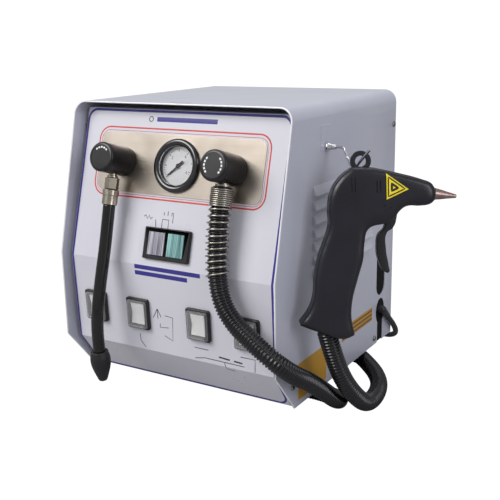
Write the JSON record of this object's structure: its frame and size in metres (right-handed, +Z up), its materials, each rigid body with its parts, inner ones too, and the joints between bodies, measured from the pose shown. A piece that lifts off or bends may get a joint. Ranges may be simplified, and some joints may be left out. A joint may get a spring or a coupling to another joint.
{
  "type": "steam cleaner",
  "caption": "Table-top steam cleaner: bent sheet case, sloping panel with gauge and switches, short hanging hose, steam gun on a hook and mains lead.",
  "frame": {"origin": "on the table, at mid width, below the front edge of the case's rim", "axes": "+Z up, +X to the right seen from the front, front faces -Y"},
  "size_m": [0.4486, 0.5131, 0.363],
  "materials": {
    "case_coat": "fine satin powder coat",
    "panel_coat": "satin printed film",
    "plate_steel": "brushed",
    "bright_steel": "polished",
    "nickel_brass": "nickel plated",
    "boiler_steel": "satin",
    "brass": "machined",
    "copper": "drawn tube",
    "head_plastic": "fine grain",
    "gauge_plastic": "gloss",
    "dial_face": "matt",
    "pointer_black": "matt",
    "clear_glass": "clear",
    "bezel_plastic": "fine grain",
    "rocker_plastic": "gloss",
    "clear_cover": "clear vinyl",
    "lens_clear": "ribbed clear",
    "lens_green": "ribbed clear",
    "hose_black": "corrugated",
    "short_hose_black": "smooth",
    "nozzle_rubber": "smooth",
    "foot_rubber": "matt",
    "lead_black": "smooth",
    "hand_plastic": "fine grain",
    "trigger_plastic": "fine grain",
    "blank_plastic": "matt",
    "plug_plastic": "satin",
    "board_green": "satin",
    "coil_blue": "satin",
    "zinc_screw": "zinc plated"
  },
  "bodies": {
    "case": {"cover": "case_coat", "front_panel": "panel_coat", "panel_spacers": "zinc_screw", "base_tray": "case_coat", "rear_panel": "case_coat", "rubber_feet": "foot_rubber", "foot_screws": "zinc_screw", "cover_screws": "zinc_screw", "outlet_plate": "plate_steel", "gauge_case": "gauge_plastic", "gauge_dial": "dial_face", "gauge_glass": "clear_glass", "gauge_clamp": "zinc_screw", "left_bearing": "brass", "right_head": "head_plastic", "right_nipple": "nickel_brass", "steam_hose": "hose_black", "hose_spring": "bright_steel", "lamp_frame": "bezel_plastic", "lamp_lens_left": "lens_clear", "lamp_lens_right": "lens_green", "switch_bezels": "bezel_plastic", "switch_covers": "clear_cover", "hook_base": "bright_steel", "hook_wire": "bright_steel", "side_blank": "blank_plastic", "lead_entry": "blank_plastic", "lead_boot": "lead_black", "mains_lead": "lead_black", "mains_coil": "lead_black", "mains_plug": "plug_plastic", "plug_pins": "nickel_brass", "boiler": "boiler_steel", "heater_head": "brass", "safety_valve": "brass", "pressure_switch": "bezel_plastic", "solenoid_valves": "coil_blue", "water_pump": "coil_blue", "steam_pipes": "copper", "control_board": "board_green", "water_inlet": "brass", "drain_tap": "brass"},
    "pointer": {"gauge_pointer": "pointer_black"},
    "left_outlet": {"left_head": "head_plastic", "left_nipple": "nickel_brass", "left_nut": "nickel_brass", "left_ferrule": "nickel_brass", "left_hose": "short_hose_black", "left_nozzle": "nozzle_rubber"},
    "rocker_body_1": {"rocker_1": "rocker_plastic"},
    "rocker_body_2": {"rocker_2": "rocker_plastic"},
    "rocker_body_3": {"rocker_3": "rocker_plastic"},
    "rocker_body_4": {"rocker_4": "rocker_plastic"},
    "handpiece": {"hand_shell_front": "hand_plastic", "hand_shell_back": "hand_plastic", "hand_screws": "zinc_screw", "hand_valve": "brass", "hand_tip": "bright_steel", "trigger_pin": "bright_steel"},
    "trigger_body": {"trigger": "trigger_plastic"}
  },
  "joints": [
    {"name": "gauge_pointer_turn", "type": "hinge", "parent": "case", "child": "pointer", "pos_m": [0, 0.04187, 0.293], "axis": [0, -0.9621, 0.2726], "range_deg": [-250, 6]},
    {"name": "left_outlet_swing", "type": "hinge", "parent": "case", "child": "left_outlet", "pos_m": [-0.0767, 0.04187, 0.293], "axis": [0, -0.9621, 0.2726], "range_deg": [-30, 30]},
    {"name": "rocker_1_tilt", "type": "hinge", "parent": "case", "child": "rocker_body_1", "pos_m": [-0.1077, 0.01376, 0.11876], "axis": [1, 0, 0], "range_deg": [-9, 9]},
    {"name": "rocker_2_tilt", "type": "hinge", "parent": "case", "child": "rocker_body_2", "pos_m": [-0.0432, 0.01376, 0.11876], "axis": [1, 0, 0], "range_deg": [-9, 9]},
    {"name": "rocker_3_tilt", "type": "hinge", "parent": "case", "child": "rocker_body_3", "pos_m": [0.0432, 0.01376, 0.11876], "axis": [1, 0, 0], "range_deg": [-9, 9]},
    {"name": "rocker_4_tilt", "type": "hinge", "parent": "case", "child": "rocker_body_4", "pos_m": [0.1077, 0.01376, 0.11876], "axis": [1, 0, 0], "range_deg": [-9, 9]},
    {"name": "handpiece_lift", "type": "slide", "parent": "case", "child": "handpiece", "axis": [0.6571, -0.2926, 0.6947], "range_m": [0, 0.035], "deforming": ["steam_hose"]},
    {"name": "trigger_pull", "type": "hinge", "parent": "handpiece", "child": "trigger_body", "pos_m": [0.23432, 0.10023, 0.24658], "axis": [0.5248, -0.8398, 0.1392], "range_deg": [-12, 0], "stiffness_Nm_per_rad": 0.25, "springref_deg": 20.05}
  ]
}
